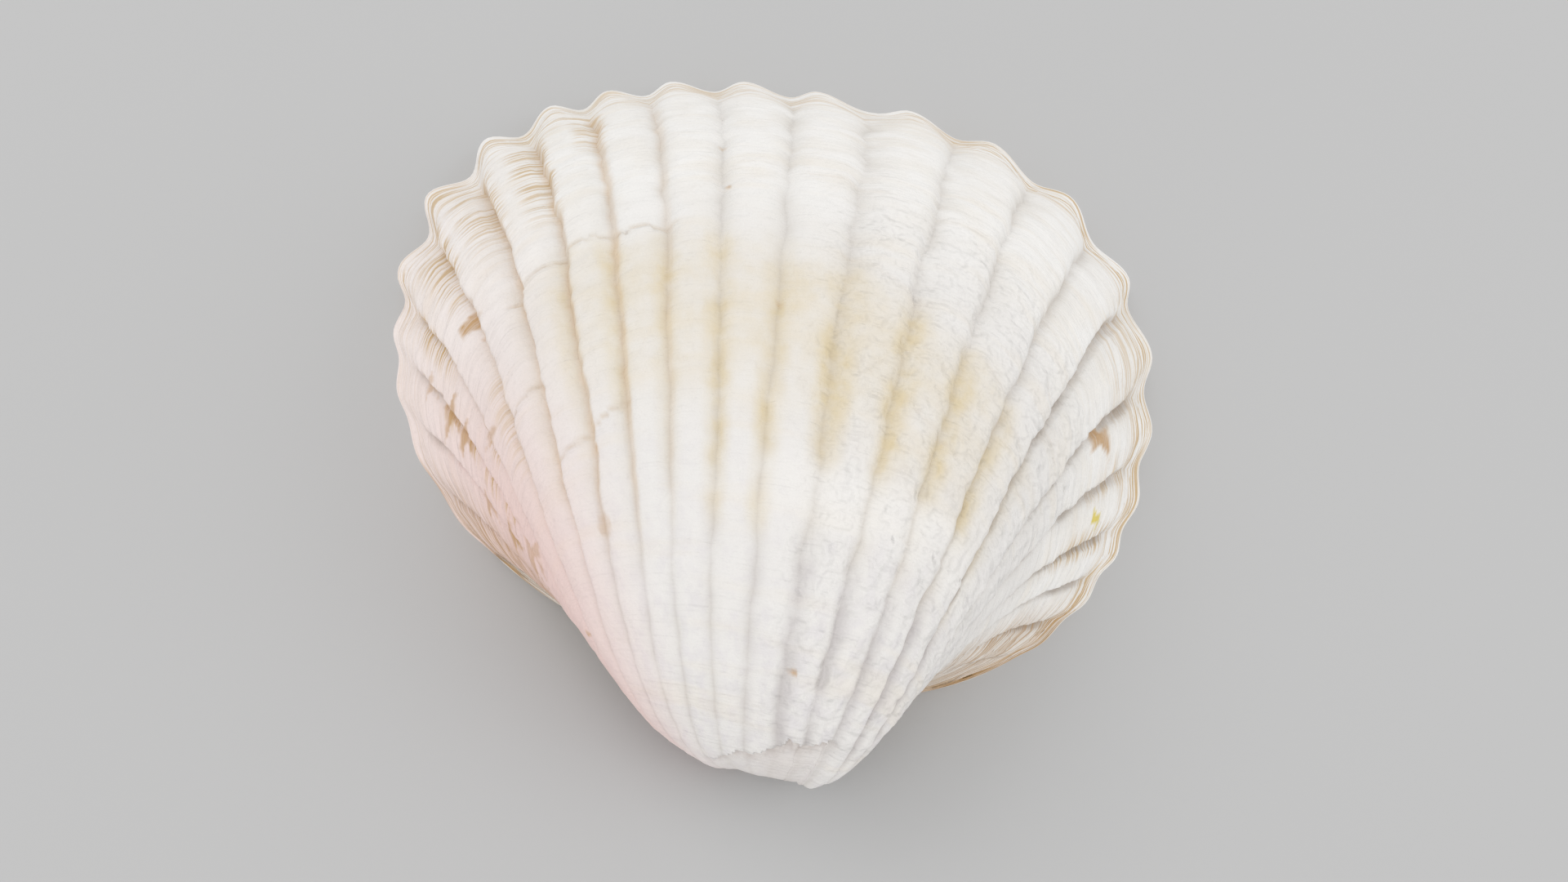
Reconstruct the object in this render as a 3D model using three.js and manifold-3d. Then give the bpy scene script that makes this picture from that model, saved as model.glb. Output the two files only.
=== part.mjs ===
// One valve of a cockle shell, lying on its rim with the domed side up.
// Millimetres, +Z up: +X along the hinge, +Y towards the lower (ventral) edge.
// The shell is a wide cone coiled round the hinge line. Each growth stage is the rim of a
// younger shell: the same scalloped outline, smaller, and turned further round the hinge.
import * as THREE from 'three';
import { mergeVertices } from 'three/addons/utils/BufferGeometryUtils.js';
import Module from 'manifold-3d';

// ---- driving dimensions -------------------------------------------------------------
const SIZE = 57.5;               // scale of the outline's numbers below, in mm
const OUTLINE = {                // the rim, in units of SIZE, hinge line at y = 0
  left: 0.511, right: 0.394,     // reach from its middle along the hinge
  lower: 0.389, upper: 0.396,    // reach towards the lower edge, and towards the hinge
  midX: -0.03, midY: 0.434,
  squareLower: 2.26, squareUpper: 2.15,   // 2 is an ellipse, more is squarer
};
const COIL = 0.823;              // how fast a stage shrinks, per radian round the hinge
const COIL_ALONG = 0.74;         // the same along the hinge, where it shrinks more slowly
const BEAK_LEAN = -0.071;        // the beak's sideways lean, in units of SIZE
const SWELL_LEFT = 0.208;        // how much wider the young stages were, left and right
const SWELL_RIGHT = 0.059;
const SWELL_END = 2.6;           // radians round the hinge where that swelling stops growing
const BEAK_END = 178;            // degrees round the hinge from the rim to the beak's tip
const BEAK_DOME = 154;           // where the beak starts to round over

// The ribs, from the left end of the hinge round to the right end. For each: the degrees of
// the outline that it takes, its height at the rim in mm, and how far across it the crest is.
const RIB_START = 231;
const RIBS = [
  [13, 0.2, 0.5], [13, 0.3, 0.5], [11, 0.4, 0.5], [10, 0.65, 0.5], [11, 1.3, 0.46],
  [14, 1.6, 0.5], [13, 1.4, 0.57], [12, 1.2, 0.6], [11, 1.0, 0.46], [11, 1.0, 0.4],
  [11, 1.0, 0.4], [10, 0.9, 0.35], [14, 1.05, 0.36], [17, 1.1, 0.38], [18, 1.2, 0.42],
  [16, 1.05, 0.58], [17, 0.9, 0.56], [12, 0.65, 0.54], [12, 0.45, 0.5], [10, 0.35, 0.5],
  [11, 0.3, 0.5], [12, 0.2, 0.5],
];
const RIB_ROUND = 2.2;           // 2 is a round rib, more is flatter on top

const WALL = 1.7;                // mm, wall at the rim, measured in the rim's plane
const RIM_BACK = (OUTLINE.midY - OUTLINE.upper) * SIZE;   // mm from the hinge line to the rim
const HINGE_BACK = 5.4;          // mm from the hinge line to the hollow, at the rim
const HINGE_BACK_DEEP = 4.4;     // mm, the same deep under the beak
const TOOTH_SHARE = 0.7;         // the teeth along the inner edge, as a share of the ribs' height
const TOOTH_FADE = 9;            // degrees over which those teeth die out inwards
const HOLLOW_END = 104;          // degrees round the hinge to the end of the hollow
const HOLLOW_DOME = 12;          // degrees over which its end rounds over
const HOLLOW_START = -3;         // degrees: it starts below the rim's plane, to cut cleanly

const SHELF_RECESS = 0.9;        // mm, depth of the hinge shelf above the rim's plane
const SHELF_EDGE = 0.8;          // mm left standing on either side of the shelf
const SHELF_REACH = 80;          // degrees of the outline that the shelf takes
const TOOTH_GAP = 0.15;          // mm, teeth stop short of the rim's plane
const TEETH = [                  // at: mm along the hinge; size: length, width, in mm; turn: degrees
  { at: -2.9, long: 1.7, wide: 1.1, turn: 60 },
  { at: -0.3, long: 2.6, wide: 1.5, turn: 112 },
  { at: -14.2, long: 4.6, wide: 1.1, turn: -20 },
  { at: 10.4, long: 4.4, wide: 1.1, turn: 24 },
];

const OUTER_RINGS = 20;          // growth stages of the outside
const INNER_RINGS = 12;
const OUTER_CROWDING = 1.35;     // above 1, the rings lie closer together near the rim
const INNER_CROWDING = 1.2;
const RIB_COLUMNS = 5;           // facets across a rib
const HINGE_COLUMNS = 10;        // facets along the bare stretch by the hinge
const HOLLOW_RIB_COLUMNS = 2;
const DOME_RINGS = [0.45, 0.8];  // where the hollow's end has its rings, as a share of the dome
const SHELF_STEPS = 14;
const TOOTH_SIDES = 10;
const TOOTH_RINGS = 6;
const CUT_EXTRA = 1;             // mm that the shelf's cut reaches below the rim's plane

// ---- the outline and the coil -------------------------------------------------------
const RAD = Math.PI / 180;
const HINGE_LINE = new THREE.Vector3(1, 0, 0);
const power = (v, n) => Math.sign(v) * Math.abs(v) ** (2 / n);

// A point of one growth stage's plane: x along the hinge, out from the hinge line.
function outlinePoint(deg, stage, wall, back) {
  const c = Math.cos(deg * RAD), s = Math.sin(deg * RAD);
  const n = s > 0 ? OUTLINE.squareLower : OUTLINE.squareUpper;
  const t = Math.max(stage, 0) * RAD;
  const out = SIZE * Math.exp(-COIL * stage * RAD);
  const along = SIZE * Math.exp(-COIL_ALONG * stage * RAD);
  const swell = 1 + (c > 0 ? SWELL_RIGHT : SWELL_LEFT) * (1 - Math.cos(Math.min(t, SWELL_END)));
  const reachX = (c > 0 ? OUTLINE.right : OUTLINE.left) * swell * along - wall;
  const middle = OUTLINE.midY * out;
  const reachY = s > 0 ? OUTLINE.lower * out - wall
    : back === null ? OUTLINE.upper * out : middle - back;
  const lean = BEAK_LEAN * Math.sin(stage * RAD) * out;
  const x = OUTLINE.midX * along + lean + reachX * power(c, n);
  return new THREE.Vector2(x, middle + reachY * power(s, n));
}

// Turns a growth stage's point round the hinge line into place.
function coil(p, stage) {
  const t = stage * RAD;
  return new THREE.Vector3(p.x, p.y * Math.cos(t), p.y * Math.sin(t));
}

// The outline's angles, each with how far it rises: rib by rib, then the bare hinge side.
function outlineStops(perRib, hingeColumns) {
  const stops = [];
  let deg = RIB_START;
  for (const [span, height, crest] of RIBS) {
    for (let i = 0; i < perRib; i++) {
      const across = i / perRib;
      const fromCrest = (across - crest) / (across < crest ? crest : 1 - crest);
      stops.push({ deg: deg - span * across, rise: height * (1 - Math.abs(fromCrest) ** RIB_ROUND) });
    }
    deg -= span;
  }
  const bare = 360 - (RIB_START - deg);
  for (let i = 0; i < hingeColumns; i++) stops.push({ deg: deg - (bare * i) / hingeColumns, rise: 0 });
  return stops;
}

// One growth stage's outline, moved outwards by each rib's rounded section. share is how
// much of the ribs' height it has.
function ring(stops, stage, wall, back, share) {
  const flat = stops.map((s) => outlinePoint(s.deg, stage, wall, back));
  return flat.map((p, i) => {
    const a = flat.at(i - 1), b = flat[(i + 1) % flat.length];
    const outward = new THREE.Vector2(a.y - b.y, b.x - a.x).normalize();
    return p.clone().addScaledVector(outward, share * stops[i].rise);
  });
}

// Pulls a ring towards its middle, to round over an end.
function shrink(points, middle, scale) {
  return points.map((p) => p.clone().sub(middle).multiplyScalar(scale).add(middle));
}

// ---- solids -------------------------------------------------------------------------
const wasm = await Module();
wasm.setup();

function toSolid(geometry) {
  geometry.deleteAttribute('normal');
  geometry.deleteAttribute('uv');
  const merged = mergeVertices(geometry, 1e-4);
  return new wasm.Manifold(new wasm.Mesh({
    numProp: 3,
    vertProperties: new Float32Array(merged.attributes.position.array),
    triVerts: new Uint32Array(merged.index.array),
  }));
}

// A closed solid through a run of closed rings, with a middle point at either end.
function loft(rings, first, last) {
  const n = rings[0].length;
  const points = [first, ...rings.flat(), last];
  const faces = [];
  for (let i = 0; i < n; i++) {
    const k = (i + 1) % n;
    faces.push(0, 1 + i, 1 + k);
    for (let r = 0; r + 1 < rings.length; r++) {
      const a = 1 + r * n, b = a + n;
      faces.push(a + i, b + i, b + k, a + i, b + k, a + k);
    }
    const end = 1 + (rings.length - 1) * n;
    faces.push(end + i, points.length - 1, end + k);
  }
  const geometry = new THREE.BufferGeometry().setFromPoints(points);
  geometry.setIndex(faces);
  return toSolid(geometry);
}

// The whole horn, as if the shell were solid.
function outside() {
  const stops = outlineStops(RIB_COLUMNS, HINGE_COLUMNS);
  const rings = [];
  for (let j = 0; j < OUTER_RINGS; j++) {
    const stage = BEAK_END * (j / OUTER_RINGS) ** OUTER_CROWDING;
    const size = Math.exp(-COIL * stage * RAD);
    const middle = new THREE.Vector2(0, OUTLINE.midY * SIZE * size);
    const over = Math.max(0, (stage - BEAK_DOME) / (BEAK_END - BEAK_DOME));
    const flat = ring(stops, stage, 0, null, size);
    rings.push(shrink(flat, middle, Math.sqrt(1 - over * over)).map((p) => coil(p, stage)));
  }
  const rimMiddle = coil(new THREE.Vector2(0, OUTLINE.midY * SIZE), 0);
  const tip = coil(new THREE.Vector2(0, OUTLINE.midY * SIZE * Math.exp(-COIL * BEAK_END * RAD)), BEAK_END);
  return loft(rings, rimMiddle, tip);
}

// The hollow, reaching a little below the rim's plane so that it cuts cleanly.
function hollow() {
  const stops = outlineStops(HOLLOW_RIB_COLUMNS, HINGE_COLUMNS);
  const rings = [];
  for (let j = 0; j <= INNER_RINGS; j++) {
    const stage = HOLLOW_START + (HOLLOW_END - HOLLOW_START) * (j / INNER_RINGS) ** INNER_CROWDING;
    const depth = Math.max(0, stage) / HOLLOW_END;
    const back = HINGE_BACK + (HINGE_BACK_DEEP - HINGE_BACK) * depth;
    const teeth = TOOTH_SHARE * Math.max(0, 1 - Math.max(0, stage) / TOOTH_FADE);
    rings.push(ring(stops, stage, WALL + teeth / 2, back, teeth).map((p) => coil(p, stage)));
  }
  const last = rings[INNER_RINGS];
  const centre = last.reduce((sum, p) => sum.add(p), new THREE.Vector3()).divideScalar(last.length);
  const ahead = (deg) => centre.clone().applyAxisAngle(HINGE_LINE, deg * RAD);
  for (const part of DOME_RINGS) {
    const mid = ahead(HOLLOW_DOME * part);
    const turned = last.map((p) => p.clone().applyAxisAngle(HINGE_LINE, HOLLOW_DOME * part * RAD));
    rings.push(turned.map((p) => p.sub(mid).multiplyScalar(Math.sqrt(1 - part * part)).add(mid)));
  }
  const start = coil(new THREE.Vector2(0, OUTLINE.midY * SIZE), HOLLOW_START);
  return loft(rings, start, ahead(HOLLOW_DOME));
}

// The band under the hinge that is set back from the rim's plane.
function shelf() {
  const shape = new THREE.Shape();
  const start = 270 - SHELF_REACH / 2;
  const inner = HINGE_BACK - SHELF_EDGE / 2;
  for (let i = 0; i <= SHELF_STEPS; i++) {
    const p = outlinePoint(start + (SHELF_REACH * i) / SHELF_STEPS, 0, SHELF_EDGE, RIM_BACK + SHELF_EDGE);
    if (i === 0) shape.moveTo(p.x, p.y); else shape.lineTo(p.x, p.y);
  }
  for (let i = SHELF_STEPS; i >= 0; i--) {
    const p = outlinePoint(start + (SHELF_REACH * i) / SHELF_STEPS, 0, WALL + SHELF_EDGE / 2, inner);
    shape.lineTo(p.x, p.y);
  }
  const depth = SHELF_RECESS + CUT_EXTRA;
  const geometry = new THREE.ExtrudeGeometry(shape, { depth, bevelEnabled: false });
  geometry.translate(0, 0, -CUT_EXTRA);
  return toSolid(geometry);
}

function tooth({ at, long, wide, turn }) {
  const geometry = new THREE.SphereGeometry(0.5, TOOTH_SIDES, TOOTH_RINGS);
  geometry.scale(long, wide, 2 * (SHELF_RECESS - TOOTH_GAP));
  geometry.rotateZ(turn * RAD);
  geometry.translate(at, shelfMiddle(at), SHELF_RECESS);
  return toSolid(geometry);
}

// How far out from the hinge line the shelf's middle lies, at a place along the hinge.
function shelfMiddle(x) {
  const fromMiddle = x - OUTLINE.midX * SIZE;
  const along = fromMiddle / (SIZE * (fromMiddle > 0 ? OUTLINE.right : OUTLINE.left));
  const drop = (1 - Math.abs(along) ** OUTLINE.squareUpper) ** (1 / OUTLINE.squareUpper);
  return (OUTLINE.midY - OUTLINE.upper * drop) * SIZE + (HINGE_BACK - RIM_BACK) / 2;
}

function valveSolid() {
  let solid = outside().subtract(hollow()).subtract(shelf());
  for (const t of TEETH) solid = solid.add(tooth(t));
  return solid;
}

function toGeometry(solid) {
  const mesh = solid.getMesh();
  const geometry = new THREE.BufferGeometry();
  geometry.setAttribute('position', new THREE.BufferAttribute(mesh.vertProperties, 3));
  geometry.setIndex(new THREE.BufferAttribute(mesh.triVerts, 1));
  return geometry;
}

// ---- the part -----------------------------------------------------------------------
const shellWhite = new THREE.MeshStandardMaterial({ color: 0xeee9e1, roughness: 0.75, metalness: 0 });

// The origin is under the middle of the shell, in the plane of the rim.
const geometry = toGeometry(valveSolid());
geometry.computeBoundingBox();
const { min, max } = geometry.boundingBox;
geometry.translate(-(min.x + max.x) / 2, -(min.y + max.y) / 2, 0);

const valve = new THREE.Mesh(geometry, shellWhite);
valve.name = 'valve';

const shell = new THREE.Group();
shell.add(valve);

export default shell;
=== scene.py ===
import math

import bmesh
import bpy
from mathutils import Matrix, Vector, noise


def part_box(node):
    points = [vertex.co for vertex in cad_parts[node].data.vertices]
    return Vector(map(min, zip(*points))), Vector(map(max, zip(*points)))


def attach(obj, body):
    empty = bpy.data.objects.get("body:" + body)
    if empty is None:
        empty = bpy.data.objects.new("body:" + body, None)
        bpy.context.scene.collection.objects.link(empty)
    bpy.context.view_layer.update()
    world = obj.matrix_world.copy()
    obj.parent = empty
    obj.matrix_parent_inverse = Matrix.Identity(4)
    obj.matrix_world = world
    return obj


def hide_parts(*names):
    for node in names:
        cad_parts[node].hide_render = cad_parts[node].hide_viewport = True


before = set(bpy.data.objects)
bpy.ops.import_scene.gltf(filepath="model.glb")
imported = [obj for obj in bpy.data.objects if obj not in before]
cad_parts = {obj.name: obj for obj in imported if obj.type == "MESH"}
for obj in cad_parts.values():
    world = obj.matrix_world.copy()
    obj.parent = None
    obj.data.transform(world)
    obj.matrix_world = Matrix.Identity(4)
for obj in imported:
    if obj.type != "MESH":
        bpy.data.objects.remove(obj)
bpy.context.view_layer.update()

# ---- The valve: its form ------------------------------------------------------------
# One half of a cockle: chalky aragonite, grown as one hard piece. The animal laid it down
# rim after rim, so each older rim is the same scalloped outline, smaller, and turned
# further round the hinge line.

# Sizes are in mm and angles in degrees. A stage is how far an old rim has turned: 0 is
# today's rim, and the tip of the beak is the oldest.
MM = 0.001
SIZE = 57.5
OUTLINE = {
    "left": 0.511, "right": 0.394, "lower": 0.389, "upper": 0.396,
    "mid_x": -0.03, "mid_y": 0.434, "square_lower": 2.26, "square_upper": 2.15,
}
COIL = 0.823
COIL_ALONG = 0.74
BEAK_LEAN = -0.071
SWELL_LEFT = 0.208
SWELL_RIGHT = 0.059
SWELL_END = 2.6
BEAK_END = 178
BEAK_DOME = 154
LENGTH = (OUTLINE["mid_y"] + OUTLINE["lower"]) * SIZE / COIL

# The ribs, from the left end of the hinge round: degrees taken, height at the rim, crest.
RIB_START = 231
RIBS = [
    (13, 0.2, 0.5), (13, 0.25, 0.5), (11, 0.3, 0.5), (10, 0.45, 0.5), (11, 1.1, 0.46),
    (14, 1.6, 0.5), (13, 1.4, 0.57), (12, 1.2, 0.6), (11, 1.0, 0.46), (11, 1.0, 0.4),
    (11, 1.0, 0.4), (10, 0.9, 0.35), (14, 1.05, 0.36), (17, 1.1, 0.38), (18, 1.2, 0.42),
    (16, 1.05, 0.58), (17, 0.9, 0.56), (12, 0.65, 0.54), (12, 0.45, 0.5), (10, 0.35, 0.5),
    (11, 0.3, 0.5), (12, 0.2, 0.5),
]
MIDDLE_RIB = 11
RIB_ROUND = 3.2
RIB_GENTLE = 2.5
RIB_STEEP = 4
RIB_LEAN = 0.17
LEAN_OVER = 4
LEAN_GROWN = (-3, 11)
WAVE_END = 9
MIDDLE_LOWER = 0.32
OLD_WEAR = 0.35

WALL = 1.7
RIM_BACK = (OUTLINE["mid_y"] - OUTLINE["upper"]) * SIZE
HINGE_BACK = 5.4
HINGE_BACK_DEEP = 4.4
TOOTH_SHARE = 0.7
TOOTH_FADE = 9
HOLLOW_END = 104
HOLLOW_DOME = 12

RIB_COLUMNS = 15
HINGE_COLUMNS = 42
HOLLOW_ROWS = 46
HOLLOW_CROWDING = 1.15
RIM_ROWS = 12
LIP = 3
LIP_ROWS = 20
OUTSIDE_ROWS = 186
LATE_ROWS = 0.16


def power(value, n):
    return math.copysign(abs(value) ** (2 / n), value)


def smooth(low, high, value):
    """0 below low, 1 above high, and an easy curve between."""
    t = min(1, max(0, (value - low) / (high - low)))
    return t * t * (3 - 2 * t)


def window(rise, full, fall, gone, value):
    """0 outside rise to gone, and 1 from full to fall."""
    return smooth(rise, full, value) * (1 - smooth(fall, gone, value))


def rough(seed, *place):
    """Even noise from -1 to 1, the same on each run. The place is counted in bumps."""
    x, y, z = (*place, 0, 0)[:3]
    return noise.noise(Vector((x + 17.3 * seed, y - 9.1 * seed, z + 5.7 * seed)))


def stage_size(stage):
    return math.exp(-COIL * math.radians(stage))


def growth_of(stage):
    """How many mm of shell grew after a stage, measured up the middle of the dome."""
    return LENGTH * (1 - stage_size(stage))


def stage_of(growth):
    return -math.degrees(math.log(1 - growth / LENGTH) / COIL)


def outline_point(deg, stage, wall=0, back=None):
    """A point of one growth stage's plane: x along the hinge, and out from the hinge line."""
    c, s, turn = math.cos(math.radians(deg)), math.sin(math.radians(deg)), math.radians(stage)
    out = SIZE * math.exp(-COIL * turn)
    along = SIZE * math.exp(-COIL_ALONG * turn)
    swell = 1 + (SWELL_RIGHT if c > 0 else SWELL_LEFT) * (1 - math.cos(min(max(turn, 0), SWELL_END)))
    reach_x = OUTLINE["right" if c > 0 else "left"] * swell * along - wall
    middle = OUTLINE["mid_y"] * out
    if s > 0:
        reach_y = OUTLINE["lower"] * out - wall
    else:
        reach_y = OUTLINE["upper"] * out if back is None else middle - back
    n = OUTLINE["square_lower" if s > 0 else "square_upper"]
    x = OUTLINE["mid_x"] * along + BEAK_LEAN * math.sin(turn) * out + reach_x * power(c, n)
    return Vector((x, middle + reach_y * power(s, n)))


def coil(point, stage):
    turn = math.radians(stage)
    return Vector((point.x, point.y * math.cos(turn), point.y * math.sin(turn)))


# Each column of the sheet: its angle on the outline, its rib, and how far across the rib.
# The bare stretch along the hinge counts as one more rib, with no height.
columns = []
deg = RIB_START
for rib, (span, height, crest) in enumerate(RIBS, 1):
    columns += [(deg - span * i / RIB_COLUMNS, rib, i / RIB_COLUMNS) for i in range(RIB_COLUMNS)]
    deg -= span
LAST_RIB = len(RIBS) + 1
bare_span = 360 - (RIB_START - deg)
columns += [(deg - bare_span * i / HINGE_COLUMNS, LAST_RIB, i / HINGE_COLUMNS)
            for i in range(HINGE_COLUMNS)]
COLUMNS = len(columns)


def lean_of(rib):
    """-1 on the left ribs, whose left walls are steep, to 1 on the right ones."""
    return max(-1, min(1, (rib - MIDDLE_RIB) / LEAN_OVER))


def section(rib, across, stage):
    """A rib's height above its grooves, in mm at the rim's size: a wave at the rim, and
    further up a crest with one steep wall."""
    if rib == LAST_RIB:
        return 0
    span, height, crest = RIBS[rib - 1]
    grown = smooth(*LEAN_GROWN, stage)
    lean = lean_of(rib) * grown
    crest += (0.5 + RIB_LEAN * lean - crest) * grown
    left = across < crest
    steep = max(0, -lean if left else lean)
    gentle = max(0, lean if left else -lean)
    n = RIB_ROUND + (RIB_STEEP - RIB_ROUND) * steep + (RIB_GENTLE - RIB_ROUND) * gentle
    v = (across - crest) / (crest if left else 1 - crest)
    wave = 1 - smooth(0, WAVE_END, stage)
    rise = height * ((1 - abs(v) ** n) * (1 - wave) + (0.5 + 0.5 * math.cos(math.pi * v)) * wave)
    # The ribs of the middle stand lower behind the lip, and the old ones are worn.
    rise *= 1 - MIDDLE_LOWER * smooth(0, 14, stage) * window(6.5, 9, 15.5, 17.5, rib + across)
    rise *= 1 - OLD_WEAR * smooth(55, 95, stage) * (1 - smooth(12, 14, rib + across))
    belt = worn_belt(rib + across, stage)
    return rise + (BELT_FILL * height - rise) * belt


# The worn belt: a growth stop across the right of the dome, where the grooves are filled.
BELT_STAGES = (57, 61, 65, 69)
BELT_RIBS = (11.2, 13, 17, 18.3)
BELT_FILL = 0.7
BELT_WORN = 0.8
BELT_WANDER = 1.6


def worn_belt(place, stage):
    """How far the grooves are filled, from 0 outside the belt."""
    stage += BELT_WANDER * rough(3, place * 0.8)
    return BELT_WORN * window(*BELT_STAGES, stage) * window(*BELT_RIBS, place)


# How unevenly the ribs grew: a groove's wander, as a share of the rib, and a crest's height.
# The ribs are far apart in the noise, so each wanders on its own.
GROOVE_WANDER = 0.07
HEIGHT_WANDER = 0.22
RIBS_APART = 4.7


def ring(stage, wall, back, share, worn=0):
    """One growth stage's outline, with the ribs' section added. worn is how uneven it is."""
    growth = growth_of(stage)
    wander = []
    for rib in range(LAST_RIB + 2):
        own = rib * RIBS_APART
        wander.append(GROOVE_WANDER * (rough(5, growth * 0.35, own) + 0.6 * rough(6, growth * 1.1, own)))
    flat = []
    for deg, rib, across in columns:
        if rib < LAST_RIB:
            shift = wander[rib] * (1 - across) + wander[rib + 1] * across
            deg += worn * RIBS[rib - 1][0] * shift * window(1, 2, LAST_RIB - 1, LAST_RIB, rib + across)
        flat.append(outline_point(deg, stage, wall, back))
    points = []
    for i, p in enumerate(flat):
        deg, rib, across = columns[i]
        a, b = flat[i - 1], flat[(i + 1) % COLUMNS]
        outward = Vector((a.y - b.y, b.x - a.x)).normalized()
        low = 1 - worn * HEIGHT_WANDER * (0.5 + 0.5 * rough(7, growth * 0.3, (rib + across) * 1.3))
        points.append(p + outward * share * low * section(rib, across, stage))
    return points


def shrink(points, middle, scale):
    """Draws a stage's points in towards a middle, to close the beak and the hollow."""
    return [(p - middle) * scale + middle for p in points]


# The rows of the sheet: from the deepest point of the hollow out to the rim, across the
# rim, and up the outside to the tip of the beak. Each row keeps its kind and its stage.
rows = []
for j in range(HOLLOW_ROWS + 1):
    stage = (HOLLOW_END + HOLLOW_DOME) * (1 - j / HOLLOW_ROWS) ** HOLLOW_CROWDING
    in_dome = max(0, stage - HOLLOW_END) / HOLLOW_DOME
    stage_flat = min(stage, HOLLOW_END)
    back = HINGE_BACK + (HINGE_BACK_DEEP - HINGE_BACK) * stage_flat / HOLLOW_END
    teeth = TOOTH_SHARE * max(0, 1 - stage_flat / TOOTH_FADE)
    flat = ring(stage_flat, WALL + teeth / 2, back, teeth)
    middle = sum(flat, Vector((0, 0))) / COLUMNS
    flat = shrink(flat, middle, math.sqrt(max(0, 1 - in_dome ** 2)))
    rows.append(("inside", stage, [coil(p, stage) for p in flat]))

stages = [stage_of(LIP * j / LIP_ROWS) for j in range(LIP_ROWS)]
lip_stage = stage_of(LIP)
for j in range(OUTSIDE_ROWS + 1):
    t = j / OUTSIDE_ROWS
    even = stage_of(LIP + (growth_of(BEAK_END) - LIP) * t)
    late = lip_stage + (BEAK_END - lip_stage) * t
    stages.append(even + LATE_ROWS * (late - even))
outside = []
for stage in stages:
    size = stage_size(stage)
    over = min(1, max(0, (stage - BEAK_DOME) / (BEAK_END - BEAK_DOME)))
    flat = ring(stage, 0, None, size, smooth(1, 5, stage))
    flat = shrink(flat, Vector((0, OUTLINE["mid_y"] * SIZE * size)), math.sqrt(1 - over ** 2))
    outside.append(("outside", stage, [coil(p, stage) for p in flat]))

rim_in, rim_out = rows[-1][2], outside[0][2]
for j in range(1, RIM_ROWS):
    rows.append(("rim", j / RIM_ROWS, [a.lerp(b, j / RIM_ROWS) for a, b in zip(rim_in, rim_out)]))
rows += outside
ROWS = len(rows)

# ---- The valve: its surface ---------------------------------------------------------
# What growth and wear left on the outside: uneven grooves, thin layers at the lip, growth
# stops, scales, worn and flaked patches, and the staining, which follows all of these. Shade
# is painted grey into the grooves and under the flake's edge.

# A place round the rim is a rib number and the share of that rib: 8.25 is a quarter of
# the way across rib 8. Depths are in mm, and a positive depth is cut inwards.

# Growth stops: a place and a stage at either end, how far the younger side is lower, and
# how brown the line is.
STOPS = [
    ((6.9, 29.2), (8.3, 28.0), 0.2, 1), ((8.3, 28.0), (10.1, 29.6), 0.2, 0.8),
    ((5.9, 44.0), (6.9, 42.5), 0.14, 0.7), ((7.2, 56.0), (8.0, 54.0), 0.08, 0.8),
    ((8.3, 53.5), (8.95, 52.0), 0.08, 0.8), ((13.0, 33.0), (14.2, 36.0), 0.1, 0.15),
    ((14.4, 49.0), (15.3, 51.0), 0.16, 0.2), ((15.4, 38.0), (16.6, 41.0), 0.16, 0.2),
    ((16.6, 31.0), (17.5, 33.0), 0.2, 0.3), ((12.2, 21.0), (13.2, 22.5), 0.06, 0.2),
    ((18.4, 27.0), (19.6, 29.0), 0.12, 0.2), ((14.0, 66.5), (17.6, 62.0), 0.14, 0),
]
STOP_SLOPE = 2.2
STOP_NOTCH = 0.24
STOP_FADE = 0.2

# The flake off the beak: its edge, place by stage, with scallops of so many degrees; how
# much thickness is gone, and what share of the ribs; and where it fades out at either end.
FLAKE = [(8.4, 146), (9.6, 134), (11.2, 124), (12.3, 118), (13.25, 111.5), (14.2, 109), (15.75, 106.5)]
FLAKE_FROM = 95
FLAKE_DEPTH = 0.42
FLAKE_SMOOTH = 0.6
FLAKE_FADE = (9.3, 11.2)
FLAKE_END = (14.5, 15.6)
SCALLOP = 3
# Where a shadow is painted under the flake's edge, in stages past the edge.
UNDER_EDGE = (0, 1, 1.5, 9)

# The thin layers of the lip. The left flank's are faint and the right side's are strong.
LAYER_PITCH = 0.47
LAYER_DEPTH = 0.08
LAYER_END = (2, 5.5)
LAYER_FAINT = 0.2
LAYER_BY_RIB = [(0.65, 4.3, 5.3), (-0.3, 8, 9.5), (0.45, 13, 15)]

# The rest of the relief, in mm deep or apart. A zone is where it starts, is full, begins
# to fade and ends, by rib or by stage. What thins with age follows the shell's size then.
RELIEF_FULL = 0.9
MEAN_DEPTH = 0.12
LUMPS = [(21, 5.5, 0.09), (22, 1.6, 0.07), (20, 0.7, 0.03)]
WAVE_PITCH = 1.7
WAVE_DEPTH = 0.07
WAVE_GROWTH = (3, 6, 30, 40)
GROOVE_DEPTH = 0.24
GROOVE_WIDTH = 0.14
FROM_RIM = (1, 9)
BY_AGE = 0.9
OLD_DEPTH = 0.22
OLD_FROM = (66, 76)
OLD_RIBS = (11, 13, 17, 18.5)
TILE_DEPTH = 0.4
TILE_FROM = (5, 18)
TILE_CURVE = 1.6
SCALY_RIBS = (12, 13.4, 18, 19.5)
SCALY_STAGES = (16, 30, 100, 125)
SCALE_PITCH = 1.3
SCALE_HEIGHT = 0.16
SCALE_CREST = (0.1, 0.4, 0.75, 0.95)
NODULE_DEPTH = 0.08
LINE_DEPTH = 0.08


def between(points, place):
    """The stage on a line of (place, stage) points."""
    for (a, low), (b, high) in zip(points, points[1:]):
        if place <= b:
            return low + (high - low) * max(0, (place - a) / (b - a))
    return points[-1][1]


def foot(rib, across):
    """1 at the foot of a rib's gentle slope, in the groove, and 0 on its crest."""
    if rib == LAST_RIB:
        return 0
    lean = lean_of(rib)
    far = smooth(0.62 + 0.1 * lean, 0.97, across) * (1 - 0.75 * max(0, lean))
    near = (1 - smooth(0.03, 0.38 + 0.1 * lean, across)) * (1 - 0.75 * max(0, -lean))
    return max(far, near)


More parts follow.
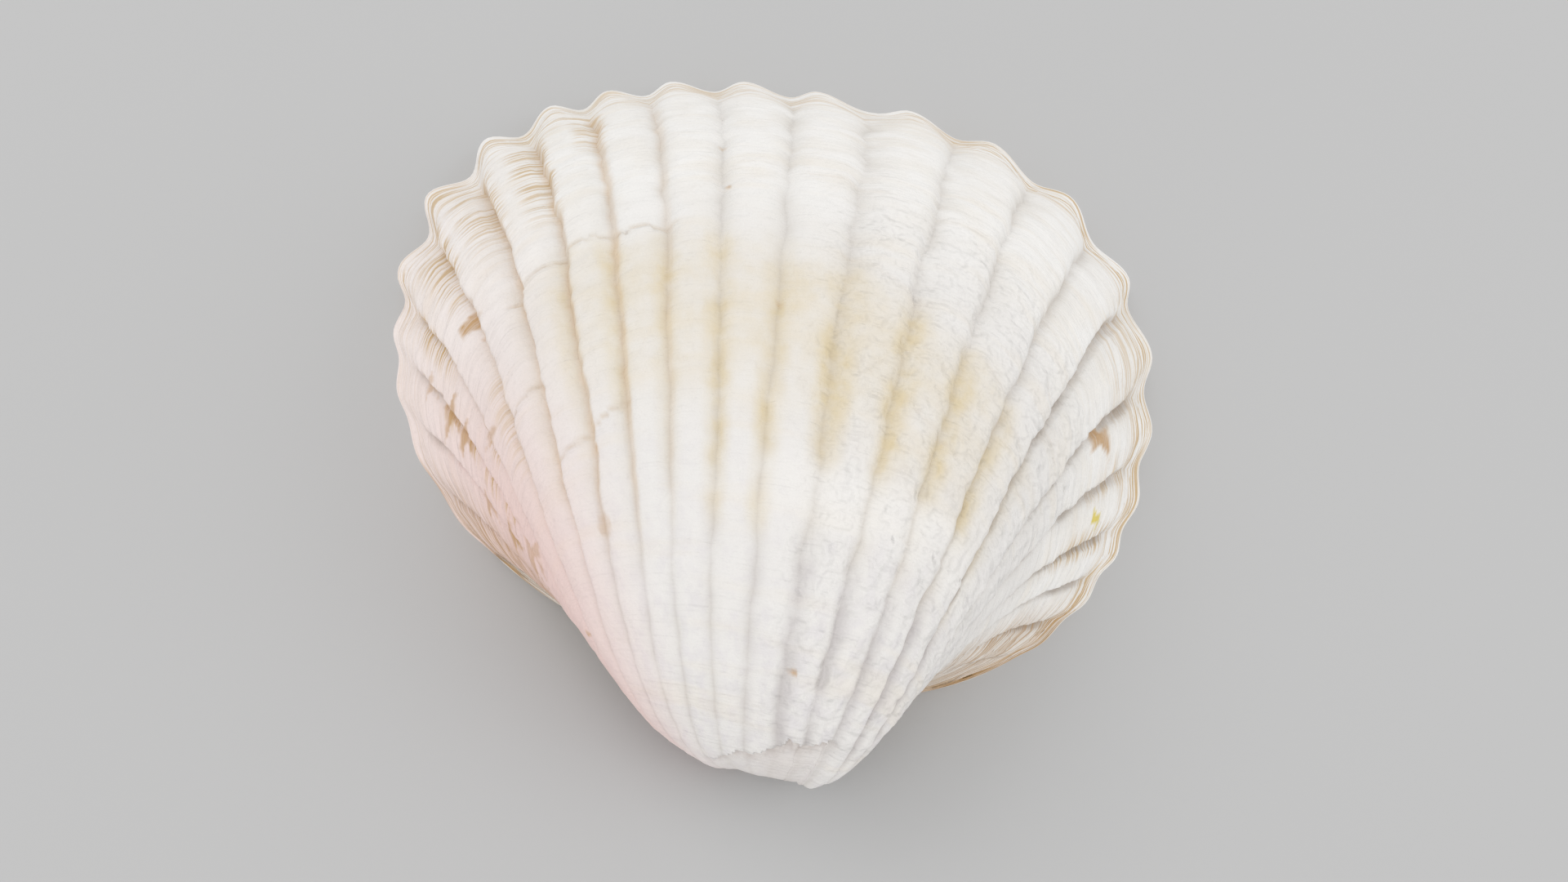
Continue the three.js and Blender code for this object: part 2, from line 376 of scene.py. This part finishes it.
def flaked(place, stage):
    """1 where the outer layer has come off the beak, and 1 close under its edge: a painted shadow."""
    if stage < FLAKE_FROM or not FLAKE_FADE[0] < place < FLAKE_END[1]:
        return 0, 0
    scallops = SCALLOP * abs(math.sin(1.9 * place + rough(11, place)))
    edge = between(FLAKE, place) + scallops + 0.6 * rough(12, place * 4)
    gone = window(*FLAKE_FADE, *FLAKE_END, place)
    return gone * smooth(0, 1, stage - edge), gone * window(*UNDER_EDGE, stage - edge)


def at_stop(place, stage, growth):
    """How much lower the shell is at a growth stop, and how brown its thin line is."""
    low, line = 0, 0
    for (place_a, stage_a), (place_b, stage_b), step, brown in STOPS:
        if not place_a - STOP_FADE < place < place_b + STOP_FADE:
            continue
        fade = window(place_a - STOP_FADE, place_a, place_b, place_b + STOP_FADE, place)
        t = (place - place_a) / (place_b - place_a)
        ragged = 0.7 * rough(13, place * 1.9) + 0.4 * rough(14, place * 6)
        past = growth_of(stage_a + (stage_b - stage_a) * t + ragged) - growth
        if 0 < past < STOP_SLOPE:
            low = max(low, fade * step * (1 - past / STOP_SLOPE) ** 1.5)
        line = max(line, brown * fade * (1 - smooth(0, STOP_NOTCH, abs(past - 0.1))))
    return low, line


def layers(place, growth):
    """How strong the thin layers of the lip are, from 0 to 1."""
    if growth > LAYER_END[1] + 1:
        return 0
    by_rib = LAYER_FAINT + sum(more * smooth(low, high, place) for more, low, high in LAYER_BY_RIB)
    return min(1, by_rib) * (1 - smooth(*LAYER_END, growth + 1.2 * rough(15, place * 0.9)))


def scaliness(place, stage):
    """How scaly the right of the dome is, from 0 to 1."""
    return window(*SCALY_RIBS, place) * window(*SCALY_STAGES, stage)


def to_groove(across):
    """How far a point is from the nearer groove, as a share of the rib."""
    return min(across, 1 - across)


def growth_relief(place, growth, spot):
    """The depth of what runs with the growth lines: lumps, lip layers and broad waves."""
    depth = MEAN_DEPTH + sum(deep * rough(seed, *(spot / wide)) for seed, wide, deep in LUMPS)
    layer = growth / LAYER_PITCH + 1.1 * rough(23, place * 0.45, growth * 0.3) + 0.3 * rough(24, place * 2)
    depth += LAYER_DEPTH * layers(place, growth) * (layer % 1)
    wave = growth / WAVE_PITCH + 1.1 * rough(25, place * 0.6, growth * 0.25)
    return depth + WAVE_DEPTH * (wave % 1) * window(*WAVE_GROWTH, growth)


def rib_relief(rib, across, stage, gone):
    """The depth of what runs with the ribs: grooves, old worn ribs, and tiles on the flanks."""
    place = rib + across
    size = stage_size(stage)
    ends = window(1.2, 1.8, LAST_RIB - 0.8, LAST_RIB - 0.2, place) * smooth(*FROM_RIM, stage)
    ends *= 1 - 0.8 * gone
    keen = 0.45 + 0.8 * smooth(15.5, 17.5, place) + 0.5 * (1 - smooth(2.5, 5, place))
    keen *= (1 - smooth(0, GROOVE_WIDTH, to_groove(across))) * (1 - worn_belt(place, stage))
    depth = GROOVE_DEPTH * size ** BY_AGE * keen * ends
    old = smooth(*OLD_FROM, stage) * window(*OLD_RIBS, place) * (1 - gone)
    depth += OLD_DEPTH * size * old * foot(rib, across)
    flank = smooth(16.4, 18, place) + (1 - smooth(4, 5.4, place))
    flank *= ends * smooth(*TILE_FROM, stage)
    tile = across if lean_of(rib) > 0 else 1 - across
    return depth + TILE_DEPTH * size ** BY_AGE * flank * (1 - tile) ** TILE_CURVE


def scale_relief(place, across, growth, scaly, spot):
    """The depth of the scales and nodules on the right of the dome. Scales stand proud."""
    wave = growth / SCALE_PITCH + 0.8 * rough(26, place * 1.6, growth * 0.4) - 0.8 * (across - 0.5) ** 2
    here = max(0, 0.5 + 0.9 * rough(27, *(spot / 1.8)))
    scale = math.sin(math.pi * (wave % 1)) * here * window(*SCALE_CREST, across)
    return scaly * (NODULE_DEPTH * rough(28, *(spot / 0.8)) - SCALE_HEIGHT * scale)


def relief(rib, across, stage, growth, spot, step, line, gone):
    """How deep the outside is cut at a point."""
    place = rib + across
    depth = growth_relief(place, growth, spot) + step + LINE_DEPTH * line
    scaly = scaliness(place, stage)
    if rib < LAST_RIB:
        depth += rib_relief(rib, across, stage, gone)
    if scaly:
        depth += scale_relief(place, across, growth, scaly, spot)
    return depth + gone * (FLAKE_DEPTH + FLAKE_SMOOTH * stage_size(stage) * section(rib, across, stage))


# Stains. Each brown mark: place, stage, its length in mm of growth, its width in mm, and
# its strength. The first three make the three-cornered one on the left.
MARKS = [
    (5.83, 21.2, 1.5, 1.9, 0.95), (5.93, 21.9, 1.4, 1.1, 0.95), (6.0, 23.3, 2.0, 0.35, 0.6),
    (18.2, 14.6, 3.2, 1.1, 0.9), (5.75, 86, 0.4, 0.4, 0.6), (13.15, 92, 0.4, 0.4, 0.8),
    (11.05, 24, 0.35, 0.35, 0.7), (8.1, 57, 1.0, 0.4, 0.5), (8.05, 68, 1.8, 0.9, 0.3),
    (12.02, 40, 0.5, 0.4, 0.4), (11.0, 17, 0.5, 0.3, 0.4), (4.05, 10, 2.2, 0.5, 0.5),
    (3.95, 17, 3.4, 0.8, 0.75), (3.85, 22.5, 2.8, 0.7, 0.8), (5.1, 35.5, 2.4, 0.5, 0.5),
    (2.85, 27, 2.6, 0.6, 0.6), (2.9, 37.5, 3, 0.7, 0.7), (2.95, 49, 3.6, 0.7, 0.6),
    (3.85, 53, 4, 0.6, 0.5),
]
YELLOW_MARK = (19.5, 11.3, 1.7, 0.42, 1)

# Zones of brown growth lines: places and stages where they start, are full, and end, and
# their strength. On the left flank each starts at a groove and feathers out.
LINE_ZONES = [
    ((4.4, 4.9, 5.12, 5.25), (5, 8, 13, 21), 1), ((5.35, 5.8, 6.2, 6.4), (0, 2, 13, 20), 0.85),
    ((6.35, 6.75, 7.2, 7.4), (0, 2, 10, 24), 0.7), ((7.45, 7.75, 8.15, 8.3), (0, 2, 14, 25), 0.75),
    ((8.6, 8.8, 9.1, 9.3), (0, 2, 8, 16), 0.6), ((18.5, 18.9, 19.1, 19.3), (0, 2, 9, 18), 0.7),
    ((19.5, 19.85, 20.15, 20.4), (0, 2, 14, 26), 0.8), ((16.6, 17, 17.9, 18.3), (0, 3, 9, 16), 0.5),
    ((3.5, 3.9, 4.05, 4.1), (13, 16, 17, 19), 0.9), ((3.45, 3.95, 4.05, 4.1), (21, 24, 26, 29), 1),
    ((3.3, 3.9, 4.05, 4.1), (29, 31, 34, 37), 1), ((3.4, 3.9, 4.05, 4.1), (38, 40, 43, 46), 0.9),
    ((2.5, 2.9, 3.05, 3.1), (33, 36, 39, 42), 0.9), ((2.3, 2.9, 3.05, 3.1), (44, 47, 56, 60), 1),
    ((4.5, 4.9, 5.05, 5.1), (32, 35, 37, 40), 0.6), ((5.3, 5.8, 6.1, 6.3), (31, 34, 45, 52), 0.4),
]


def surface_point(place, stage, wall=0, back=None):
    """Where a place and a stage are, before the relief."""
    rib = int(place)
    deg = RIB_START - sum(span for span, _, _ in RIBS[:rib - 1]) - RIBS[rib - 1][0] * (place - rib)
    return coil(outline_point(deg, stage, wall, back), stage)


# The other zones, by rib and by stage. The ochre band turns back as it goes to the right.
OCHRE_TURN = 1.3
OCHRE_FROM = 22
BAND_STAGES = (25, 31, 38, 55)
BAND_RIBS = (6.6, 8.6, 15, 17.5)
DEEP_STAGES = (24, 33, 52, 68)
DEEP_RIBS = (5.3, 6.5, 17, 18.5)
OLDER_STAGES = (44, 50, 66, 72)
OLDER_RIBS = (10, 11, 16.5, 17.5)
TAN_STAGES = (2, 8, 50, 80)
TAN_RIBS = (4.5, 5.2, 9.5, 10.5)
# Where shade is painted grey-violet into the old grooves, toward the beak, right of the middle.
OLD_GROOVE_SHADE_STAGES = (69, 76, 112, 130)
OLD_GROOVE_SHADE_RIBS = (11.5, 13, 17, 18)
LIP_LINES = 0.9


def mark_strength(mark, centre, place, stage, growth, spot):
    middle, at, long, wide, strength = mark
    along = growth - growth_of(at)
    if abs(along) > long or abs(place - middle) > 1:
        return 0
    away = surface_point(place, stage) - centre
    aside = math.sqrt(max(0, away.length_squared - along ** 2))
    ragged = 1 + 0.4 * rough(31, *(spot / 0.6))
    reach = math.hypot(along / (long / 2), aside / (wide / 2)) * ragged
    return strength * (1 - smooth(0.75, 1.2, reach))


mark_centres = [surface_point(place, at) for place, at, _, _, _ in MARKS]
yellow_centre = surface_point(YELLOW_MARK[0], YELLOW_MARK[1])


def crease(place, across, stage):
    """The dark line in a groove, thin in the middle of the dome and stronger on the flanks."""
    if not 1 < place < LAST_RIB:
        return 0
    keen = 0.25 + 0.75 * smooth(15.6, 17.2, place) + 0.5 * (1 - smooth(3, 6.4, place))
    wide = 0.1 + 0.07 * smooth(16.5, 18.5, place)
    return min(1, keen) * (1 - smooth(0, wide, to_groove(across))) * smooth(2, 7, stage)


def ochre(place, across, stage, low, spot):
    """The ochre growth band, with what has run into the grooves near it and above it."""
    if stage <= OCHRE_FROM:
        return 0
    turned = stage - OCHRE_TURN * (place - 8) + 4 * rough(41, place * 0.7)
    band = window(*BAND_STAGES, turned) * window(*BAND_RIBS, place)
    deep = window(*DEEP_STAGES, turned) * window(*DEEP_RIBS, place) * low
    # Right of rib 12 the older stain ends sooner, at the worn belt.
    older_stage = stage + 9 * smooth(12.2, 13, place)
    older = low * window(*OLDER_STAGES, older_stage) * window(*OLDER_RIBS, place)
    patchy = max(0, 0.72 + 0.5 * rough(42, *(spot / 2.6)) + 0.2 * rough(43, *(spot / 0.9)))
    narrow = 1 - smooth(0, 0.12, to_groove(across))
    found = band * (0.5 + 0.2 * low) + 0.4 * deep * (0.7 + 0.4 * narrow) + 0.45 * older
    return min(1, found * patchy)


def brown_lines(place, stage, growth):
    """How strong the brown growth lines are, in the lip's layers and in their own zones."""
    lines = layers(place, growth) * LIP_LINES * smooth(0.1, 0.3, growth)
    for ribs, turns, strength in LINE_ZONES:
        if ribs[0] < place < ribs[3] and turns[0] < stage < turns[3]:
            lines = max(lines, window(*ribs, place) * window(*turns, stage) * strength)
    return lines


def stains_and_painted_shade(rib, across, stage, growth, spot, line, gone, under):
    """Each mark's strength outside, from 0 to 1: each stain, groove line, and painted shade."""
    place = rib + across
    low = foot(rib, across)
    # Painted shade: how strong the grey-violet in the old grooves is.
    old = window(*OLD_GROOVE_SHADE_STAGES, stage) * window(*OLD_GROOVE_SHADE_RIBS, place) * (1 - gone) * low ** 2
    pink = 0.45 + 0.55 * smooth(5, 60, stage + 8 * (5 - place))
    pink *= 1 - smooth(3, 8.5, place - 0.02 * stage)
    ends = max(1 - smooth(1.6, 3.0, place), smooth(20.9, 22.4, place))
    if place < 5:
        ends *= 1 - smooth(1.7, 3.2, place + 0.02 * (stage - 60))
    tan = (1 - smooth(0.02, 0.2, min(across, 1.1 - across))) * window(*TAN_RIBS, place)
    tan *= window(*TAN_STAGES, stage) * (0.75 + 0.5 * rough(45, *(spot / 2)))
    return {
        "ochre": ochre(place, across, stage, low, spot), "pink": pink,
        "brown": max(mark_strength(m, c, place, stage, growth, spot) for m, c in zip(MARKS, mark_centres)),
        "yellow": mark_strength(YELLOW_MARK, yellow_centre, place, stage, growth, spot),
        "lines": brown_lines(place, stage, growth), "ends": ends,
        "stop": line * (0.7 + 0.3 * rough(44, *(spot / 0.9))), "foot": low,
        "crease": crease(place, across, stage), "old": old, "under": under, "tan": tan,
        "belt": worn_belt(place, stage), "flaked": gone, "scaly": scaliness(place, stage),
        "growth": growth, "place": place,
    }


# The inside: a toothed margin, the line where the mantle was fixed, and two muscle scars,
# each with its place, its stage and its width in mm. The shelf of the hinge is set back.
PALLIAL_STAGE = 15
PALLIAL_DEPTH = 0.12
PALLIAL_RIBS = (3.5, 5, 19, 20.5)
SCARS = [(3.6, 30, 6.1), (20.2, 27, 6.6)]
SCAR_DEPTH = 0.16
INNER_RIB_DEPTH = 0.12
INNER_RIB_FADE = (8, 34)
INNER_FULL = 3
SHELF_RECESS = 0.9
SHELF_DEGREES = (230, 234, 306, 310)
SHELF_ACROSS = (0.2, 0.36, 0.66, 0.82)

scar_centres = [surface_point(place, at, WALL, HINGE_BACK) for place, at, _ in SCARS]


def in_scar(spot):
    """1 in a muscle scar, 0 outside."""
    found = 0
    for (_, _, wide), centre in zip(SCARS, scar_centres):
        if (spot - centre).length < wide:
            reach = (spot - centre).length / (wide / 2) * (1 + 0.12 * rough(51, *(spot / 2)))
            found = max(found, 1 - smooth(0.88, 1.04, reach))
    return found


def relief_inside(rib, across, stage, spot):
    """How deep the inside is cut at a point."""
    place = rib + across
    depth = 0.05 * rough(52, *(spot / 4))
    pallial = PALLIAL_STAGE + 1.5 * rough(53, place * 0.4)
    on_mantle = window(*PALLIAL_RIBS, place)
    depth += PALLIAL_DEPTH * on_mantle * window(pallial - 1, pallial, pallial, pallial + 2.5, stage)
    if rib < LAST_RIB:
        fine = 0.5 + 0.5 * math.cos(2 * math.pi * across)
        depth += INNER_RIB_DEPTH * RIBS[rib - 1][1] * fine * (1 - smooth(*INNER_RIB_FADE, stage))
    return depth + SCAR_DEPTH * in_scar(spot)


NAMES = (
    "ochre", "pink", "brown", "yellow", "lines", "ends", "stop", "foot", "crease", "old", "under",
    "tan", "belt", "flaked", "scaly", "growth", "place", "scar", "margin",
)

# The sheet is a grid, rolled up on the rows: its ends meet at the hinge, and its first and
# last rows close to a point in the hollow and at the tip of the beak.
bm = bmesh.new()
bmesh.ops.create_grid(bm, x_segments=COLUMNS, y_segments=ROWS - 1, size=0.5)
column_of = bm.verts.layers.int.new("column")
row_of = bm.verts.layers.int.new("row")
attributes = {name: bm.verts.layers.float.new(name) for name in NAMES}
for v in bm.verts:
    v[column_of] = round((v.co.x + 0.5) * COLUMNS) % COLUMNS
    v[row_of] = round((v.co.y + 0.5) * (ROWS - 1))
    v.co = rows[v[row_of]][2][v[column_of]] * MM
bmesh.ops.remove_doubles(bm, verts=bm.verts, dist=1e-6)
bmesh.ops.recalc_face_normals(bm, faces=bm.faces)
bm.normal_update()

# The second pass cuts the relief along each point's own normal, and stores its colour marks and painted
# shade.
for v in bm.verts:
    kind, stage, points = rows[v[row_of]]
    deg, rib, across = columns[v[column_of]]
    spot = points[v[column_of]]
    v[attributes["place"]] = rib + across
    if kind == "outside":
        growth = growth_of(stage)
        step, line = at_stop(rib + across, stage, growth)
        gone, under = flaked(rib + across, stage)
        depth = relief(rib, across, stage, growth, spot, step, line, gone) * smooth(0, RELIEF_FULL, growth)
        v.co -= v.normal * depth * MM
        for name, strength in stains_and_painted_shade(rib, across, stage, growth, spot, line, gone, under).items():
            v[attributes[name]] = strength
        v.co.z = 0 if stage == 0 else max(v.co.z, 0)
    elif kind == "inside":
        v[attributes["growth"]] = growth_of(stage)
        v[attributes["scar"]] = in_scar(spot)
        v[attributes["margin"]] = 1 - smooth(PALLIAL_STAGE - 5, PALLIAL_STAGE, stage)
        v.co -= v.normal * relief_inside(rib, across, stage, spot) * smooth(0, INNER_FULL, stage) * MM
        v.co.z = max(v.co.z, 0)
    else:
        # Across the rim: flat where it rests, with the shelf of the hinge set back.
        v[attributes["margin"]] = 1
        at_hinge = window(*SHELF_DEGREES, deg % 360)
        v.co.z = SHELF_RECESS * at_hinge * window(*SHELF_ACROSS, stage) * MM
inside_rows = HOLLOW_ROWS + 2
for f in bm.faces:
    f.material_index = int(all(v[row_of] < inside_rows for v in f.verts))

# The hinge teeth, grown on the shelf: at, mm along the hinge; length, width; and turn.
TEETH = [(-2.9, 1.7, 1.1, 60), (-0.3, 2.6, 1.5, 112), (-14.2, 4.6, 1.1, -20), (10.4, 4.4, 1.1, 24)]
TOOTH_GAP = 0.15
for at, long, wide, turn in TEETH:
    from_middle = at - OUTLINE["mid_x"] * SIZE
    along = from_middle / (SIZE * OUTLINE["right" if from_middle > 0 else "left"])
    drop = (1 - abs(along) ** OUTLINE["square_upper"]) ** (1 / OUTLINE["square_upper"])
    middle = (OUTLINE["mid_y"] - OUTLINE["upper"] * drop) * SIZE + (HINGE_BACK - RIM_BACK) / 2
    place = (Matrix.Translation((at * MM, middle * MM, SHELF_RECESS * MM))
             @ Matrix.Rotation(math.radians(turn), 4, "Z")
             @ Matrix.Diagonal((long * MM, wide * MM, 2 * (SHELF_RECESS - TOOTH_GAP) * MM, 1)))
    made = bmesh.ops.create_uvsphere(bm, u_segments=20, v_segments=12, radius=0.5, matrix=place)
    for v in made["verts"]:
        v[attributes["margin"]] = 1
        for f in v.link_faces:
            f.material_index = 1

SHARP_OVER = 55
mesh = bpy.data.meshes.new("valve_shell")
bm.to_mesh(mesh)
bm.free()
valve = bpy.data.objects.new("valve_shell", mesh)
bpy.context.scene.collection.objects.link(valve)
mesh.shade_smooth()
mesh.set_sharp_from_angle(angle=math.radians(SHARP_OVER))

low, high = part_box("valve")
xs = [v.co.x for v in mesh.vertices]
ys = [v.co.y for v in mesh.vertices]
mesh.transform(Matrix.Translation((
    (low.x + high.x) / 2 - (min(xs) + max(xs)) / 2,
    (low.y + high.y) / 2 - (min(ys) + max(ys)) / 2, 0)))


# ---- The valve: its materials -------------------------------------------------------
# The outside is chalky aragonite, grown and then worn matt by sand: a warm white that
# scatters light, with fine growth lines and stain, and with shade painted grey into its
# grooves and under the flake's edge. The inside is porcelain-like.
def linear(hex_colour):
    """An sRGB hex colour as linear light."""
    out = []
    for i in (1, 3, 5):
        c = int(hex_colour[i:i + 2], 16) / 255
        out.append(c / 12.92 if c <= 0.04045 else ((c + 0.055) / 1.055) ** 2.4)
    return (*out, 1)


def material(name):
    made = bpy.data.materials.new(name)
    made.use_nodes = True
    return made, made.node_tree.nodes["Principled BSDF"]


def node(tree, kind, settings=None, **inputs):
    """Adds a node. An input is a value, or the output socket that feeds it."""
    made = tree.nodes.new(kind)
    for name, value in (settings or {}).items():
        setattr(made, name, value)
    for name, value in inputs.items():
        # i0, i1 and so on are inputs by number. The others go by name, with _ for a space.
        key = int(name[1:]) if name[1:].isdigit() else name.replace("_", " ")
        socket = made.inputs[key]
        if isinstance(value, bpy.types.NodeSocket):
            tree.links.new(value, socket)
        else:
            socket.default_value = value
    return made


chalk, surface = material("chalky_aragonite_sand_worn")
tree = chalk.node_tree
spots = node(tree, "ShaderNodeTexCoord").outputs["Object"]
painted = {name: node(tree, "ShaderNodeAttribute", {"attribute_name": name}).outputs["Fac"]
           for name in NAMES}


def scaled(vector, length_mm):
    """The position counted in lengths of so many mm."""
    by = 1 / (length_mm * MM)
    return node(tree, "ShaderNodeVectorMath", {"operation": "SCALE"}, i0=vector, Scale=by).outputs[0]


def times(a, b):
    return node(tree, "ShaderNodeMath", {"operation": "MULTIPLY"}, i0=a, i1=b).outputs[0]


def plus(a, b):
    return node(tree, "ShaderNodeMath", {"operation": "ADD"}, i0=a, i1=b).outputs[0]


def pattern(length_mm, detail=3, across=None, pitch=1):
    """Noise over lengths of so many mm, and with across, in lines where that runs on."""
    settings = {"noise_dimensions": "4D" if across else "3D"}
    inputs = {"Vector": scaled(spots, length_mm), "Scale": 1, "Detail": detail}
    if across:
        inputs["W"] = times(across, 1 / pitch)
    return node(tree, "ShaderNodeTexNoise", settings, **inputs).outputs["Fac"]


def ramp(value, low, high, bottom=0, top=1):
    """Rises smoothly from bottom to top as the value goes from low to high."""
    return node(tree, "ShaderNodeMapRange", {"interpolation_type": "SMOOTHSTEP"}, Value=value,
                From_Min=low, From_Max=high, To_Min=bottom, To_Max=top).outputs[0]


def over(base, factor, colour):
    """Lays a colour over another, by a factor from 0 to 1."""
    mixed = node(tree, "ShaderNodeMix", {"data_type": "RGBA"}, i0=factor)
    if isinstance(base, bpy.types.NodeSocket):
        tree.links.new(base, mixed.inputs[6])
    else:
        mixed.inputs[6].default_value = linear(base)
    mixed.inputs[7].default_value = linear(colour)
    return mixed.outputs[2]


# Chalky aragonite, worn by sand, gives the eye a matt warm white with fine growth lines, and
# staining that follows the growth and the ribs. Shade is painted grey into the grooves and
# under the flake's edge.
growth_lines = pattern(6, 2, painted["growth"], 0.21)
broad_lines = pattern(9, 2, painted["growth"], 1.3)
fibres = pattern(1.1, 4, painted["place"], 0.5)
clouds = pattern(3.2, 4)
nodules = pattern(0.9, 1)
grain = pattern(0.3, 3)

colour = over("#f7f5f2", ramp(clouds, 0.4, 0.7, 0, 0.5), "#f2ede5")
colour = over(colour, ramp(painted["growth"], 14, 24, 0, 0.8), "#ece9e6")
colour = over(colour, times(ramp(painted["growth"], 24, 46), ramp(fibres, 0.42, 0.66, 0, 0.5)), "#e1dcdf")
colour = over(colour, ramp(broad_lines, 0.5, 0.7, 0, 0.35), "#efe6d8")
# Painted shade: a grey at the foot of each rib's gentle slope, down in the groove.
colour = over(colour, times(painted["foot"], ramp(clouds, 0.3, 0.6, 0.05, 0.3)), "#dcd8d2")
colour = over(colour, times(painted["pink"], 0.75), "#f0cbc4")
colour = over(colour, times(painted["ochre"], ramp(fibres, 0.3, 0.65, 0.5, 0.8)), "#e0cc9e")
colour = over(colour, times(painted["tan"], 0.6), "#dfc098")
colour = over(colour, times(painted["belt"], 0.8), "#f5f2ee")
colour = over(colour, times(painted["lines"], ramp(growth_lines, 0.46, 0.6, 0, 0.9)), "#caa564")
colour = over(colour, times(painted["stop"], 0.6), "#cdb088")
colour = over(colour, times(painted["crease"], ramp(clouds, 0.3, 0.6, 0.35, 0.8)), "#9f8f80")
# Painted shade: a grey-violet in the old grooves, toward the beak, right of the middle.
colour = over(colour, times(painted["old"], ramp(clouds, 0.3, 0.6, 0.2, 0.6)), "#c8c2c2")
colour = over(colour, times(painted["ends"], ramp(growth_lines, 0.4, 0.62, 0.1, 0.8)), "#bb925c")
colour = over(colour, times(painted["brown"], ramp(growth_lines, 0.3, 0.55, 0.6, 0.95)), "#c49960")
colour = over(colour, times(painted["yellow"], 0.9), "#e4cf4e")
colour = over(colour, times(painted["flaked"], ramp(clouds, 0.35, 0.6, 0.3, 0.7)), "#e4ddd9")
# Painted shadow: a brownish grey close under the flake's edge.
colour = over(colour, times(painted["under"], ramp(fibres, 0.35, 0.6, 0.1, 0.55)), "#b9aba2")
tree.links.new(colour, surface.inputs["Base Color"])
surface.inputs["Roughness"].default_value = 0.62
surface.inputs["IOR"].default_value = 1.53

height = plus(times(growth_lines, 0.5), plus(times(grain, 0.4), times(fibres, 0.5)))
height = plus(height, times(nodules, ramp(painted["scaly"], 0, 1, 0.4, 2.6)))
bump = node(tree, "ShaderNodeBump", Height=height, Strength=0.8, Distance=0.22 * MM)
tree.links.new(bump.outputs[0], surface.inputs["Normal"])
mesh.materials.append(chalk)

# Porcelaneous aragonite, as it grew, gives the eye a smooth cream with a soft shine and faint
# rings.
inner, surface = material("porcelaneous_aragonite_grown")
tree = inner.node_tree
spots = node(tree, "ShaderNodeTexCoord").outputs["Object"]
painted = {name: node(tree, "ShaderNodeAttribute", {"attribute_name": name}).outputs["Fac"]
           for name in ("scar", "margin", "growth")}
clouds = pattern(6, 3)
inner_lines = pattern(9, 2, painted["growth"], 0.8)
colour = over("#f4f0ea", ramp(clouds, 0.4, 0.7, 0, 0.6), "#ece2d6")
colour = over(colour, times(painted["scar"], ramp(inner_lines, 0.4, 0.6, 0.25, 0.6)), "#d9c3ad")
colour = over(colour, times(painted["margin"], 0.5), "#f7f4f0")
tree.links.new(colour, surface.inputs["Base Color"])
surface.inputs["Roughness"].default_value = 0.3
surface.inputs["IOR"].default_value = 1.6
bump = node(tree, "ShaderNodeBump", Height=inner_lines, Strength=0.3, Distance=0.1 * MM)
tree.links.new(bump.outputs[0], surface.inputs["Normal"])
mesh.materials.append(inner)

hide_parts("valve")
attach(valve, "root")

# ---- The floor, the light and the camera --------------------------------------------
# The valve lies on matt seamless paper, under an even white sky. Three soft lights stand
# round it, and the camera looks down on the dome.
FLOOR_SIZE = 4
bpy.ops.mesh.primitive_plane_add(size=FLOOR_SIZE)
floor = bpy.context.object
floor.name = "floor"
# Matt seamless paper gives the eye an even light grey with no shine.
paper, paper_surface = material("seamless_paper_matt")
paper_surface.inputs["Base Color"].default_value = linear("#c3c3c3")
paper_surface.inputs["Roughness"].default_value = 0.9
floor.data.materials.append(paper)

WORLD_STRENGTH = 0.88
world = bpy.data.worlds.new("studio")
world.use_nodes = True
background = world.node_tree.nodes["Background"]
background.inputs["Color"].default_value = (1, 1, 1, 1)
background.inputs["Strength"].default_value = WORLD_STRENGTH
bpy.context.scene.world = world

# The camera's angles in degrees, and its distance in metres from the point it aims at.
ELEVATION = 65.1
AZIMUTH = -7.3
ROLL = 19.5
DISTANCE = 0.1168
AIM = Vector((0.0015, -0.0026, 0))
LENS = 39.4
cam = bpy.data.cameras.new("camera")
cam.sensor_width = 36
cam.lens = LENS
cam.clip_start = 0.01
camera = bpy.data.objects.new("camera", cam)
turn = (Matrix.Rotation(math.radians(AZIMUTH), 4, "Z")
        @ Matrix.Rotation(math.radians(90 - ELEVATION), 4, "X")
        @ Matrix.Rotation(math.radians(ROLL), 4, "Z"))
camera.matrix_world = Matrix.Translation(AIM) @ turn @ Matrix.Translation((0, 0, DISTANCE))
bpy.context.scene.collection.objects.link(camera)
bpy.context.scene.camera = camera
bpy.context.scene.view_settings.view_transform = "Standard"

BOX_SIZE = 0.3
BOX_DISTANCE = 0.5


def soft_box(name, side, watts):
    """A square soft light aimed at the shell. The side is across, up and towards the camera."""
    lamp = bpy.data.lights.new(name, "AREA")
    lamp.size = BOX_SIZE
    lamp.energy = watts
    thing = bpy.data.objects.new(name, lamp)
    thing.location = turn @ Vector(side) * BOX_DISTANCE
    thing.rotation_euler = (-thing.location).to_track_quat("-Z", "Y").to_euler()
    bpy.context.scene.collection.objects.link(thing)


soft_box("key", (-0.45, 0.85, 0.6), 0.36)
soft_box("fill", (0.95, 0.1, 0.4), 0.25)
soft_box("low_fill", (-0.5, -0.85, 0.35), 1)
